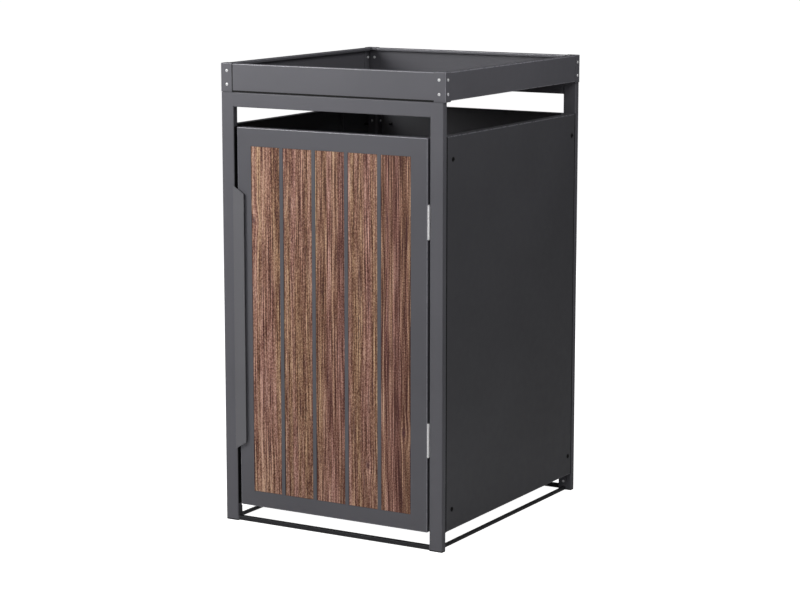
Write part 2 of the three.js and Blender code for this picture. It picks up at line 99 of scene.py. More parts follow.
# Fasteners
BOLT_RISE = 0.003
BOLT_RADIUS = 0.0065
FLANGE_SCREW_HEIGHTS = {"lower": 0.110, "upper": 1.077}
FLANGE_SCREW_X = 0.338
HINGE_LEAF = 0.0012
BACK_SCREW_IN = 0.012  # from the back panel's outer face
HINGE_SCREWS = (1 / 6, 1 / 2, 5 / 6)  # share of a leaf's height
HINGE_SCREW_IN = 0.0055  # from a leaf's rear edge
HANDLE_BOLTS = (0.06, 0.5, 0.94)  # share of the handle's height
HANDLE_BOLT_IN = 0.009  # from the web's rear edge
HANDLE_OVERHANG = 0.0082  # from the flange's free edge to the web's outer face
HANDLE_EDGE = 0.0009
CATCH_SHEET = 0.002
CATCH_SCREW_IN = 0.012  # from the bracket's top and bottom
CATCH_SCREW_Y = 0.009  # from the bracket's front edge
MAGNET_SCREW_IN = 0.0091  # from the bracket's rear edge
FLOOR_SCREW_IN = (0.045, 0.05)  # from the tray floor's edges, along x and y

# Tabs that hold the side base rails to the posts
TAB_INNER = 0.3132
TAB_OUTER = 0.339
TAB_TOP = 0.042
TAB_BOTTOM = 0.002
TAB_THICK = 0.002
TAB_CORNER = 0.004
TAB_SCREW = (0.329, 0.026)

# Welds, and black strips that paint shade into gaps, seams and grooves
BEAD_RADIUS = 0.0012
BEAD_STEP = 0.0012
BEAD_RIPPLE = 0.18  # share of the bead's radius
RIPPLE_TURN = 2.1  # radians from one point of a bead to the next
BEAD_INSET = 0.002  # from a top rail's edges to the ends of its bead
PATCH_PROUD = 0.00006  # ground welds stand this far out of the faces that they join
PATCH_HALF = 0.0032
PATCH_DEEP = 0.0012
PATCH_EDGE = 0.00004
SHADE_STRIP_IN = 0.0006  # strips set back from the faces round them
SHADE_STRIP_DEEP = 0.0011
SHADE_STRIP_EDGE = 0.00015
SHADE_STRIP_CLEAR = 0.0001
SHADE_STRIP_LIP = 0.0024  # how far the strips run up the boards
DOOR_SHADE_IN = 0.0015
DOOR_SHADE_THICK = 0.0011
BOARD_SHADE_WIDE = 0.012
RIM_SHADE_DEEP = 0.0185
SHADE_LINE_WIDE = 0.004
SHADE_LINE_PROUD = 0.0001
SHADE_LINE_DEEP = 0.001

# Tray corner pieces: leg lengths along x and y, and the open seams at the ends of their legs
CORNER_LEGS = (0.036, 0.028)
TRAY_SEAMS = {"front_left": (0.003, 0.0015), "rear_left": (0.0015, 0.0015), "rear_right": (0.0015, 0.0015)}

# Studio
WORLD_LIGHT = 0.04
FLOOR_HALF = 40.0
FLOOR_PALE = (0.72, 0.72, 0.72, 1)

CORNERS = {
    "front_left": (-1, -1),
    "front_right": (1, -1),
    "rear_left": (-1, 1),
    "rear_right": (1, 1),
}


# ---- Node trees ----

def node(tree, kind, inputs=None, **settings):
    """Adds a node, sets its properties, and sets or links its inputs."""
    made = tree.nodes.new(kind)
    for key, value in settings.items():
        setattr(made, key, value)
    for key, value in (inputs or {}).items():
        if isinstance(value, bpy.types.NodeSocket):
            tree.links.new(value, made.inputs[key])
        else:
            made.inputs[key].default_value = value
    return made


def new_material(name):
    """A material whose tree holds only a Principled shader, and that shader."""
    material = bpy.data.materials.new(name)
    material.use_nodes = True
    tree = material.node_tree
    shader = next(n for n in tree.nodes if n.type == "BSDF_PRINCIPLED")
    return material, tree, shader


def object_position(tree):
    return node(tree, "ShaderNodeTexCoord").outputs["Object"]


def stretched(tree, vector, scale, shift=(0, 0, 0)):
    """The vector moved and scaled, to stretch a pattern along one axis."""
    mapping = node(tree, "ShaderNodeMapping", {"Vector": vector, "Location": shift, "Scale": scale})
    return mapping.outputs["Vector"]


def noise(tree, vector, scale=1.0, detail=2.0):
    inputs = {"Vector": vector, "Scale": scale, "Detail": detail}
    return node(tree, "ShaderNodeTexNoise", inputs).outputs["Fac"]


def remap(tree, value, low, high, new_low, new_high):
    inputs = {
        "Value": value, "From Min": low, "From Max": high, "To Min": new_low, "To Max": new_high,
    }
    return node(tree, "ShaderNodeMapRange", inputs).outputs["Result"]


def maths(tree, operation, first, second):
    made = node(tree, "ShaderNodeMath", {0: first, 1: second}, operation=operation)
    return made.outputs["Value"]


def ramp(tree, value, stops):
    """A colour ramp over (place, colour) stops."""
    made = node(tree, "ShaderNodeValToRGB", {"Fac": value})
    elements = made.color_ramp.elements
    while len(elements) < len(stops):
        elements.new(0.5)
    for element, (place, color) in zip(elements, stops):
        element.position = place
        element.color = (*color, 1)
    return made.outputs["Color"]


def mixed(tree, factor, first, second, blend_type="MIX"):
    made = node(tree, "ShaderNodeMixRGB", {"Fac": factor, "Color1": first, "Color2": second})
    made.blend_type = blend_type
    return made.outputs["Color"]


def bump(tree, shader, height, strength, distance):
    inputs = {"Height": height, "Strength": strength, "Distance": distance}
    made = node(tree, "ShaderNodeBump", inputs)
    tree.links.new(made.outputs["Normal"], shader.inputs["Normal"])


def times(color, factor):
    return tuple(c * factor for c in color)


# ---- Materials ----

def powder_coat(name, color, roughness=0.42, specular=0.35):
    """Satin powder coat: slow mottling in colour and gloss, and a fine orange-peel skin."""
    material, tree, shader = new_material(name)
    position = object_position(tree)
    clouds = noise(tree, position, scale=3.0, detail=4.0)
    coat = ramp(tree, clouds, [(0.30, times(color, 0.93)), (0.70, times(color, 1.07))])
    tree.links.new(coat, shader.inputs["Base Color"])
    gloss = remap(tree, noise(tree, position, scale=40.0), 0.3, 0.7, roughness - 0.03, roughness + 0.03)
    tree.links.new(gloss, shader.inputs["Roughness"])
    shader.inputs["Specular IOR Level"].default_value = specular
    bump(tree, shader, noise(tree, position, scale=900.0), 0.25, 0.00006)
    return material


def fold_highlight_coat(slot, color):
    """The same coat made lighter and glossier along the outside of a fold: a painted highlight on the
    rounded edge.
    """
    return powder_coat(f"{slot}_fold", times(color, FOLD_HIGHLIGHT), 0.28, 0.7)


def bright_steel(name, color=(0.95, 0.95, 0.96), roughness=0.30):
    """Zinc-plated steel: faint brushed lines and a slightly cloudy plating."""
    material, tree, shader = new_material(name)
    position = object_position(tree)
    lines = noise(tree, stretched(tree, position, (1200, 1200, 60)), detail=3.0)
    plating = ramp(tree, lines, [(0.3, times(color, 0.86)), (0.7, color)])
    tree.links.new(plating, shader.inputs["Base Color"])
    clouds = noise(tree, position, scale=160.0, detail=3.0)
    gloss = remap(tree, clouds, 0.3, 0.7, roughness - 0.06, roughness + 0.08)
    tree.links.new(gloss, shader.inputs["Roughness"])
    shader.inputs["Metallic"].default_value = 0.15
    bump(tree, shader, lines, 0.2, 0.00003)
    return material


def black_finish(name, color, roughness, grain, specular=0.5):
    """Dark moulded or coated surface with a fine grain."""
    material, tree, shader = new_material(name)
    position = object_position(tree)
    speckle = noise(tree, position, scale=grain, detail=3.0)
    shade = ramp(tree, speckle, [(0.3, times(color, 0.75)), (0.7, times(color, 1.3))])
    tree.links.new(shade, shader.inputs["Base Color"])
    gloss = remap(tree, speckle, 0.3, 0.7, roughness - 0.05, roughness + 0.05)
    tree.links.new(gloss, shader.inputs["Roughness"])
    shader.inputs["Specular IOR Level"].default_value = specular
    bump(tree, shader, speckle, 0.3, 0.00008)
    return material


# Wood shades from dark grain to light grain, all with the same warm cast
WOOD_SHADES = [
    (0.00, (0.052, 0.015, 0.010)),
    (0.25, (0.139, 0.056, 0.036)),
    (0.50, (0.262, 0.130, 0.086)),
    (0.75, (0.428, 0.248, 0.172)),
    (1.00, (0.630, 0.407, 0.295)),
]
WOOD_CASTS = [(0.0, (1.0, 0.94, 1.06)), (1.0, (0.98, 1.03, 0.88))]
PLUM = (0.070, 0.024, 0.030)


def around_knots(tree, position, grain_place, knots):
    """Spreads the grain round each knot. Returns the new place and a mask of the knots' dark cores."""
    core = 0.0
    for x, z, radius in knots:
        flat = node(
            tree, "ShaderNodeVectorMath", {0: position, 1: (x, 0, z)}, operation="SUBTRACT",
        ).outputs["Vector"]
        scaled = stretched(tree, flat, (1 / radius, 0, 0.45 / radius))
        reach = node(tree, "ShaderNodeVectorMath", {0: scaled}, operation="LENGTH").outputs["Value"]
        pull = remap(tree, reach, 0.0, 3.5, -0.7, 0.0)
        push = stretched(tree, flat, (1, 0, 0))
        moved = node(tree, "ShaderNodeVectorMath", {0: push}, operation="SCALE")
        tree.links.new(pull, moved.inputs["Scale"])
        grain_place = node(
            tree, "ShaderNodeVectorMath", {0: grain_place, 1: moved.outputs["Vector"]}, operation="ADD",
        ).outputs["Vector"]
        core = maths(tree, "MAXIMUM", core, remap(tree, reach, 0.2, 1.1, 0.85, 0.0))
    return grain_place, core


def plank_wood(name, shift, tone, knots):
    """Walnut-look board: long colour bands, fine streaks, dark plum veins and short pores, all along Z."""
    material, tree, shader = new_material(name)
    position = object_position(tree)
    sway = remap(tree, noise(tree, stretched(tree, position, (6, 6, 1.6), shift)), 0, 1, -0.008, 0.008)
    push = node(tree, "ShaderNodeCombineXYZ", {"X": sway}).outputs["Vector"]
    swayed = node(tree, "ShaderNodeVectorMath", {0: position, 1: push}, operation="ADD").outputs["Vector"]
    swayed, core = around_knots(tree, position, swayed, knots)

    def grain(across, along, seed, detail=2.0):
        moved = tuple(seed * part for part in shift)
        return noise(tree, stretched(tree, swayed, (across, across, along), moved), detail=detail)

    layers = [
        (grain(24, 0.7, 1.0), 0.26),
        (grain(75, 1.6, 5.9), 0.22),
        (grain(430, 1.8, 4.9, detail=0.0), 1.0),
        (grain(440, 9.0, 1.7, detail=0.0), 1.35),
        (grain(420, 240.0, 2.3, detail=0.0), 0.9),
    ]
    value = tone
    for pattern, weight in layers:
        value = maths(tree, "ADD", value, remap(tree, pattern, 0, 1, -weight / 2, weight / 2))
    color = ramp(tree, value, WOOD_SHADES)
    warmth = remap(tree, grain(48, 1.0, 7.7), 0.38, 0.62, 0.0, 1.0)
    color = mixed(tree, 1.0, color, ramp(tree, warmth, WOOD_CASTS), "MULTIPLY")
    veins = remap(tree, grain(430, 9.0, 3.1), 0.62, 0.68, 0.0, 0.8)
    pores = remap(tree, grain(430, 40.0, 4.3), 0.64, 0.72, 0.0, 0.75)
    dark = maths(tree, "MAXIMUM", maths(tree, "MAXIMUM", veins, pores), core)
    color = mixed(tree, dark, color, (*PLUM, 1))
    tree.links.new(color, shader.inputs["Base Color"])

    gloss = remap(tree, value, 0.2, 0.8, 0.62, 0.50)
    tree.links.new(gloss, shader.inputs["Roughness"])
    shader.inputs["Specular IOR Level"].default_value = 0.3
    bump(tree, shader, maths(tree, "SUBTRACT", value, pores), 0.35, 0.0003)
    return material


# panel_paint is darker than frame_paint, which paints part of the shade on the panels into their coat.
# door_paint is a little darker and handle_paint a little lighter than frame_paint.
PAINTS = {
    "frame_paint": (0.117, 0.116, 0.130),
    "panel_paint": (0.074, 0.074, 0.082),
    "tray_paint": (0.117, 0.116, 0.130),
    "door_paint": (0.105, 0.104, 0.117),
    "handle_paint": (0.140, 0.139, 0.150),
}
MATERIALS = {slot: powder_coat(slot, color) for slot, color in PAINTS.items()}
MATERIALS["bright_steel"] = bright_steel("bright_steel")
MATERIALS["black_bolt"] = black_finish("black_bolt", (0.004, 0.004, 0.004), 0.45, 900.0, 0.2)
MATERIALS["black_plastic"] = black_finish("black_plastic", (0.006, 0.006, 0.006), 0.6, 1400.0, 0.2)
MATERIALS["magnet_black"] = black_finish("magnet_black", (0.035, 0.035, 0.037), 0.6, 600.0)
# Lighter, glossier coats for the outside of the folds: painted highlights.
FOLD_HIGHLIGHT_PAINTS = {slot: fold_highlight_coat(slot, color) for slot, color in PAINTS.items() if slot != "frame_paint"}
# Painted shade and light on the base rails: the front, right and rear rails take a much darker coat for the
# shade under the cabinet, and the left rail a lighter coat for the light on its inner face.
BASE_RAIL_PAINTED_SHADE_AND_LIGHT = {
    "base_rail_front": powder_coat("base_paint", (0.022, 0.022, 0.025)),
    "base_rail_left": powder_coat("base_paint_left", (0.170, 0.170, 0.180)),
}
# Each board: where its pattern is cut from, how light it is, and its knots as (x, z, radius)
PLANK_LOOKS = {
    "plank_1": ((3.1, 0.4, 7.9), 0.51, [(-0.250, 0.868, 0.008)]),
    "plank_2": ((11.7, 2.6, 1.3), 0.48, []),
    "plank_3": ((5.3, 9.2, 4.7), 0.41, []),
    "plank_4": ((17.9, 6.1, 12.2), 0.49, [(0.118, 0.215, 0.007)]),
    "plank_5": ((8.6, 14.5, 9.4), 0.37, [(0.232, 0.318, 0.008)]),
}


# ---- Shading shared by every piece ----

def smooth_group():
    """Geometry nodes that drop the imported normals and shade smooth except across sharp edges."""
    group = bpy.data.node_groups.new("smooth_except_sharp", "GeometryNodeTree")
    group.interface.new_socket("Geometry", in_out="INPUT", socket_type="NodeSocketGeometry")
    group.interface.new_socket("Geometry", in_out="OUTPUT", socket_type="NodeSocketGeometry")
    start = node(group, "NodeGroupInput").outputs["Geometry"]
    bare = node(group, "GeometryNodeRemoveAttribute", {"Geometry": start, "Name": "custom_normal"})
    faces = node(group, "GeometryNodeSetShadeSmooth", {"Geometry": bare.outputs["Geometry"]}, domain="FACE")
    angle = node(group, "GeometryNodeInputMeshEdgeAngle").outputs["Unsigned Angle"]
    sharp = node(group, "FunctionNodeCompare", {"A": angle, "B": SHARP}, operation="GREATER_THAN")
    edges = node(
        group, "GeometryNodeSetShadeSmooth",
        {"Geometry": faces.outputs["Geometry"], "Selection": sharp.outputs["Result"], "Shade Smooth": False},
        domain="EDGE",
    )
    node(group, "NodeGroupOutput", {"Geometry": edges.outputs["Geometry"]})
    return group


SMOOTH = smooth_group()


def shade(piece):
    smooth = piece.modifiers.new("smooth", "NODES")
    smooth.node_group = SMOOTH
    normals = piece.modifiers.new("normals", "WEIGHTED_NORMAL")
    normals.keep_sharp = True


def finish_node(name, edge=CUT_EDGE):
    """Rounds a CAD node's sharp edges with modifiers; its own mesh stays as it is."""
    piece = NODES[name]
    piece.modifiers.new("weld", "WELD").merge_threshold = 1e-5
    flat = piece.modifiers.new("flat", "DECIMATE")
    flat.decimate_type = "DISSOLVE"
    flat.angle_limit = math.radians(1)
    bevel = piece.modifiers.new("bevel", "BEVEL")
    bevel.width = edge
    bevel.segments = 2
    bevel.limit_method = "ANGLE"
    bevel.angle_limit = BEVELLED
    shade(piece)


def add_piece(name, bm, body, slot):
    """Makes a piece from a bmesh, in its slot's finish, and ties it to a body."""
    mesh = bpy.data.meshes.new(name)
    bm.to_mesh(mesh)
    bm.free()
    piece = bpy.data.objects.new(name, mesh)
    SCENE.collection.objects.link(piece)
    mesh.materials.append(MATERIALS[slot])
    shade(piece)
    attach(piece, body)
    return piece


# ---- Folded sheet parts ----

def cad_solid(name):
    """A CAD node's mesh with its triangles joined back into whole flat faces."""
    bm = bmesh.new()
    bm.from_mesh(NODES[name].data)
    bmesh.ops.remove_doubles(bm, verts=bm.verts, dist=1e-6)
    bmesh.ops.dissolve_limit(bm, angle_limit=math.radians(1), verts=bm.verts, edges=bm.edges)
    return bm


def face_width(face):
    """Width of a long strip, also of one that runs round a corner."""
    return 2 * face.calc_area() / face.calc_perimeter()


def is_fold(edge, sheet):
    """True where two faces of the sheet meet, and neither is the sheet's own cut thickness."""
    if len(edge.link_faces) != 2 or edge.calc_face_angle() < BEVELLED:
        return False
    return all(face_width(face) > 1.5 * sheet for face in edge.link_faces)


def round_edges(bm, edges, radius, segments, material=-1):
    if edges:
        bmesh.ops.bevel(
            bm, geom=edges, offset=radius, offset_type="OFFSET", segments=segments,
            profile=0.5, affect="EDGES", clamp_overlap=True, material=material,
        )


def folded_sheet(name, sheet=SHEET, radius=FOLD_RADIUS, cut_edge=CUT_EDGE, cut_material=-1):
    """Stands for a CAD node with its folds rounded outside and inside and its cut edges broken."""
    bm = cad_solid(name)
    folds = [edge for edge in bm.edges if is_fold(edge, sheet)]
    outer = [edge for edge in folds if edge.is_convex]
    # The outer folds take the second material: a painted highlight along each rounded edge.
    round_edges(bm, outer, radius, FOLD_SEGMENTS, material=1)
    inner = [e for e in bm.edges if is_fold(e, sheet) and not e.is_convex and e.calc_length() > 4 * sheet]
    round_edges(bm, inner, radius - sheet, 2)
    cuts = [e for e in bm.edges if len(e.link_faces) == 2 and e.calc_face_angle() > BEVELLED]
    round_edges(bm, cuts, cut_edge, 1, cut_material)
    piece = add_piece(f"{name}_sheet", bm, NODES[name]["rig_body"], slot_of(name))
    piece.data.materials.append(FOLD_HIGHLIGHT_PAINTS[slot_of(name)])
    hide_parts(name)
    return piece


def slot_of(name):
    return next(part["material_slot"] for part in RECORD["subparts"] if part["node"] == name)


# ---- Turned parts: rivets, bolts and screws ----

def revolve(profile, segments=24):
    """A closed turned solid about +Z. Radii in the profile are numbers, or functions of the angle."""
    bm = bmesh.new()
    rings = []
    for radius, height in profile:
        if radius == 0:
            rings.append([bm.verts.new((0, 0, height))])
            continue
        ring = []
        for step in range(segments):
            angle = 2 * math.pi * step / segments
            reach = radius(angle) if callable(radius) else radius
            ring.append(bm.verts.new((reach * math.cos(angle), reach * math.sin(angle), height)))
        rings.append(ring)
    for lower, upper in zip(rings, rings[1:]):
        for step in range(segments):
            following = (step + 1) % segments
            corners = [
                lower[step % len(lower)], lower[following % len(lower)],
                upper[following % len(upper)], upper[step % len(upper)],
            ]
            bm.faces.new(dict.fromkeys(corners))
    bmesh.ops.recalc_face_normals(bm, faces=bm.faces)
    return bm


def aimed(bm, place, axis):
    """Turns a solid made about +Z to point along axis, and moves it to its place."""
    turn = Vector((0, 0, 1)).rotation_difference(Vector(axis)).to_matrix().to_4x4()
    bm.transform(Matrix.Translation(Vector(place)) @ turn)
    return bm


def dome(radius, rise, start, steps=5):
    """Profile points of a dome, from its rim at the given height up to its inner radius."""
    return [
        (radius * math.cos(math.pi / 2 * k / steps), start + rise * math.sin(math.pi / 2 * k / steps))
        for k in range(steps)
    ]


def hexagon(apothem):
    return lambda angle: apothem / math.cos((angle + math.pi / 6) % (math.pi / 3) - math.pi / 6)


def star(radius):
    return lambda angle: radius * (1 + 0.16 * math.cos(6 * angle))


def blind_rivet(bulb_shown=True):
    """Domed head with the mandrel's pit, a shank, and the bulb that grips the far side."""
    head, pit, shank, bulb = 0.0042, 0.0011, 0.0022, 0.0032
    rise = 0.0017
    grip = 0.0034
    pit_floor = 0.0007
    profile = [(0, pit_floor), (pit, pit_floor), (pit, rise * 0.92)]
    profile += [(r, h) for r, h in reversed(dome(head, rise, 0.0002)) if r > 1.3 * pit]
    profile += [(head, 0), (shank, 0)]
    if not bulb_shown:
        return revolve(profile + [(shank, -RIVET_HIDDEN), (0, -RIVET_HIDDEN)])
    profile += [(shank, -grip), (bulb, -grip - 0.0004)]
    profile += [(r, -grip - 0.003 - h) for r, h in dome(bulb, 0.002, 0)]
    profile.append((0, -grip - 0.005))
    return revolve(profile)


def recessed_screw(head, rise, recess, depth, shank, length):
    """Button head with a driving recess, on a plain shank."""
    crown = [(r, h) for r, h in dome(head, rise, 0.0004, steps=6) if r > 1.35 * recess(0)]
    top = crown[-1][1]
    profile = [(0, top - depth), (recess, top - depth), (recess, top)]
    profile += list(reversed(crown))
    profile += [(head, 0), (shank, 0), (shank, -length), (0, -length)]
    return revolve(profile)


def tray_corner(name):
    """The x and y of a corner piece's two outer faces."""
    side, back = CORNERS[name]
    low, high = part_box(f"tray_corner_{name}")
    x = (high.x - RIVET_DISC) if side > 0 else (low.x + RIVET_DISC)
    y = (high.y - RIVET_DISC) if back > 0 else (low.y + RIVET_DISC)
    return x, y


def make_tray_rivets():
    for name, (side, back) in CORNERS.items():
        x, y = tray_corner(name)
        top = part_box(f"tray_corner_{name}")[1].z
        bulb_shown = back < 0
        for row, drop in RIVET_DROPS.items():
            z = top - drop
            along_x = aimed(blind_rivet(bulb_shown), (x - side * RIVET_IN_X, y, z), (0, back, 0))
            along_y = aimed(blind_rivet(bulb_shown), (x, y - back * RIVET_IN_Y, z), (side, 0, 0))
            add_piece(f"rivet_{name}_{row}_face_y", along_x, "cabinet", "bright_steel")
            add_piece(f"rivet_{name}_{row}_face_x", along_y, "cabinet", "bright_steel")
        if bulb_shown:
            continue
        z = top - RIVET_INNER_DROP
        along_x = aimed(blind_rivet(False), (x - side * RIVET_IN_X, y - back * TRAY_WALL, z), (0, -back, 0))
        along_y = aimed(blind_rivet(False), (x - side * TRAY_WALL, y - back * RIVET_IN_Y, z), (-side, 0, 0))
        add_piece(f"rivet_{name}_inner_face_y", along_x, "cabinet", "bright_steel")
        add_piece(f"rivet_{name}_inner_face_x", along_y, "cabinet", "bright_steel")


def make_panel_bolts():
    axes = {"left": (-1, 0, 0), "right": (1, 0, 0), "back": (0, 1, 0)}
    for name in sorted(NODES):
        if not name.startswith("bolt_"):
            continue
        axis = Vector(axes[name.split("_")[1]])
        low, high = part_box(name)
        middle = (low + high) / 2
        reach = Vector([abs(a) for a in axis]).dot(high - low) / 2
        base = middle + axis * (reach - BOLT_RISE)
        bolt = recessed_screw(BOLT_RADIUS, BOLT_RISE - 0.0004, hexagon(0.0022), 0.0018, 0.003, 0.012)
        piece = add_piece(f"{name}_button", aimed(bolt, base, axis), "cabinet", "black_bolt")
        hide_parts(name)


def pan_screw(radius=0.0038, rise=0.0021):
    return recessed_screw(radius, rise, star(radius * 0.45), 0.0012, radius * 0.5, 0.006)


def add_screw(name, place, axis, body, slot="bright_steel", solid=None):
    add_piece(name, aimed(solid or pan_screw(), place, axis), body, slot)


def make_flange_screws():
    """Screws through the folded edges of the side and back panels into the posts."""
    for side_name, side in (("left", -1), ("right", 1)):
        low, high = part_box(f"side_panel_{side_name}")
        rows = (("front", low.y + SHEET, 1), ("rear", high.y - SHEET, -1))
        for row_name, y, way in rows:
            for level, z in FLANGE_SCREW_HEIGHTS.items():
                name = f"screw_{side_name}_{row_name}_{level}"
                add_screw(name, (side * FLANGE_SCREW_X, y, z), (0, way, 0), "cabinet")
        low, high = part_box("back_panel")
        x = side * (high.x - SHEET)
        for level, z in FLANGE_SCREW_HEIGHTS.items():
            place = (x, high.y - BACK_SCREW_IN, z)
            add_screw(f"screw_back_{side_name}_{level}", place, (-side, 0, 0), "cabinet")


def make_door_screws():
    """Screws that hold the planks' battens, and bolts that hold the handle, to the door."""
    for level in ("lower", "middle", "upper"):
        low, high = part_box(f"plank_batten_{level}")
        for number in range(1, 6):
            plank_low, plank_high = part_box(f"plank_{number}")
            place = ((plank_low.x + plank_high.x) / 2, high.y, (low.z + high.z) / 2)
            add_screw(f"screw_batten_{level}_{number}", place, (0, 1, 0), "door")
    low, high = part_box("handle")
    for number, share in enumerate(HANDLE_BOLTS, start=1):
        place = (low.x + HANDLE_OVERHANG, high.y - HANDLE_BOLT_IN, low.z + share * (high.z - low.z))
        button = recessed_screw(0.0045, 0.0022, hexagon(0.0016), 0.0013, 0.0025, 0.006)
        add_screw(f"bolt_handle_{number}", place, (-1, 0, 0), "door", "black_bolt", button)


def make_hinge_screws():
    for level in ("lower", "upper"):
        for owner, body, way in (("frame", "cabinet", -1), ("door", "door", 1)):
            low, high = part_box(f"hinge_{owner}_leaf_{level}")
            x = high.x - HINGE_LEAF if way < 0 else low.x + HINGE_LEAF
            for number, share in enumerate(HINGE_SCREWS, start=1):
                place = (x, high.y - HINGE_SCREW_IN, low.z + share * (high.z - low.z))
                flat_head = pan_screw(0.0028, 0.0009)
                add_screw(f"screw_hinge_{owner}_{level}_{number}", place, (way, 0, 0), body, solid=flat_head)


def make_catch_and_floor_screws():
    low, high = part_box("catch_bracket")
    magnet_low, magnet_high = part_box("catch_magnet")
    for level, z in (("lower", low.z + CATCH_SCREW_IN), ("upper", high.z - CATCH_SCREW_IN)):
        place = (low.x + CATCH_SHEET, low.y + CATCH_SCREW_Y, z)
        add_screw(f"screw_catch_{level}", place, (1, 0, 0), "cabinet")
        place = ((magnet_low.x + magnet_high.x) / 2, high.y - MAGNET_SCREW_IN, z)
        add_screw(f"screw_magnet_{level}", place, (0, 1, 0), "cabinet")
    low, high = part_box("tray_floor")
    middle_y = (low.y + high.y) / 2
    reach_x = high.x - FLOOR_SCREW_IN[0]
    reach_y = (high.y - low.y) / 2 - FLOOR_SCREW_IN[1]
    for name, (side, back) in CORNERS.items():
        place = (side * reach_x, middle_y + back * reach_y, high.z)
        add_screw(f"screw_tray_floor_{name}", place, (0, 0, 1), "cabinet", solid=pan_screw(0.0048, 0.0026))


# ---- Tabs, welds, and black strips that paint shade ----

def slab(low, high, rounding):
    """A plate between two corners with all its edges rounded."""
    bm = bmesh.new()
    bmesh.ops.create_cube(bm, size=1.0)
    size = Vector(high) - Vector(low)
    middle = (Vector(high) + Vector(low)) / 2
    bm.transform(Matrix.Translation(middle) @ Matrix.Diagonal((*size, 1)))
    round_edges(bm, list(bm.edges), rounding, 2)
    return bm


def tab_plate():
    """A plate in the XZ plane with its two top corners rounded, its back on y = 0."""
    arcs = []
    for centre_x, start in ((TAB_OUTER - TAB_CORNER, 0), (TAB_INNER + TAB_CORNER, 90)):
        for step in range(7):
            angle = math.radians(start + 15 * step)
            arcs.append((
                centre_x + TAB_CORNER * math.cos(angle),
                TAB_TOP - TAB_CORNER + TAB_CORNER * math.sin(angle),
            ))
    outline = [(TAB_INNER, TAB_BOTTOM), (TAB_OUTER, TAB_BOTTOM), *arcs]
    bm = bmesh.new()
    face = bm.faces.new([bm.verts.new((x, 0, z)) for x, z in outline])
    grown = bmesh.ops.extrude_face_region(bm, geom=[face])["geom"]
    moved = [v for v in grown if isinstance(v, bmesh.types.BMVert)]
    bmesh.ops.translate(bm, verts=moved, vec=(0, TAB_THICK, 0))
    bmesh.ops.recalc_face_normals(bm, faces=bm.faces)
    rims = [edge for edge in bm.edges if edge.calc_face_angle() > BEVELLED]
    round_edges(bm, rims, CUT_EDGE, 2)
    return bm


def make_rail_tabs():
    """Upright tabs on the ends of the side base rails, each screwed to its post."""
    for name, (side, back) in CORNERS.items():
        rail_low, rail_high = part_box("base_rail_right" if side > 0 else "base_rail_left")
        y = rail_high.y if back > 0 else rail_low.y
        mirror = Matrix.Diagonal((side, -back, 1, 1))
        plate = tab_plate()
        plate.transform(Matrix.Translation((0, y, 0)) @ mirror)
        if mirror.determinant() < 0:
            bmesh.ops.reverse_faces(plate, faces=plate.faces)
        add_piece(f"rail_tab_{name}", plate, "cabinet", "frame_paint")
        place = (side * TAB_SCREW[0], y - back * TAB_THICK, TAB_SCREW[1])
        add_screw(f"screw_rail_tab_{name}", place, (0, -back, 0), "cabinet")


def weld_bead(name, corners, closed=False):
    """A rippled weld bead along the straight runs between its corners."""
    ends = corners[1:] + corners[:1] if closed else corners[1:]
    points = []
    for start, end in zip(corners, ends):
        start, end = Vector(start), Vector(end)
        count = max(1, round((end - start).length / BEAD_STEP))
        points += [start.lerp(end, k / count) for k in range(count)]
    if not closed:
        points.append(Vector(corners[-1]))
    curve = bpy.data.curves.new(name, "CURVE")
    curve.dimensions = "3D"
    curve.bevel_depth = BEAD_RADIUS
    curve.bevel_resolution = 2
    curve.use_fill_caps = not closed
    spline = curve.splines.new("POLY")
    spline.points.add(len(points) - 1)
    for k, point in enumerate(points):
        spline.points[k].co = (*point, 1)
        spline.points[k].radius = 1 + BEAD_RIPPLE * math.sin(RIPPLE_TURN * k)
    spline.use_cyclic_u = closed
    curve.materials.append(MATERIALS["frame_paint"])
    bead = bpy.data.objects.new(name, curve)
    SCENE.collection.objects.link(bead)
    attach(bead, "cabinet")


def make_rail_welds():
    """Beads round the ends of the base rails, and under the ends of the top rails."""
    for back_name in ("front", "rear"):
        low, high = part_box(f"base_rail_{back_name}")
        top_low, top_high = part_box(f"top_rail_{back_name}")
        for side_name, x, top_x in (("left", low.x, top_low.x), ("right", high.x, top_high.x)):
            loop = [(x, low.y, low.z), (x, high.y, low.z), (x, high.y, high.z), (x, low.y, high.z)]
            weld_bead(f"weld_base_{back_name}_{side_name}", loop, closed=True)
            near, far = top_low.y + BEAD_INSET, top_high.y - BEAD_INSET
            run = [(top_x, near, top_low.z), (top_x, far, top_low.z)]
            weld_bead(f"weld_top_{back_name}_{side_name}", run)
    for side_name in ("left", "right"):
        low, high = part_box(f"base_rail_{side_name}")
        for back_name, y in (("front", low.y + TAB_THICK), ("rear", high.y - TAB_THICK)):
            loop = [(low.x, y, low.z), (high.x, y, low.z), (high.x, y, high.z), (low.x, y, high.z)]
            weld_bead(f"weld_side_rail_{back_name}_{side_name}", loop, closed=True)


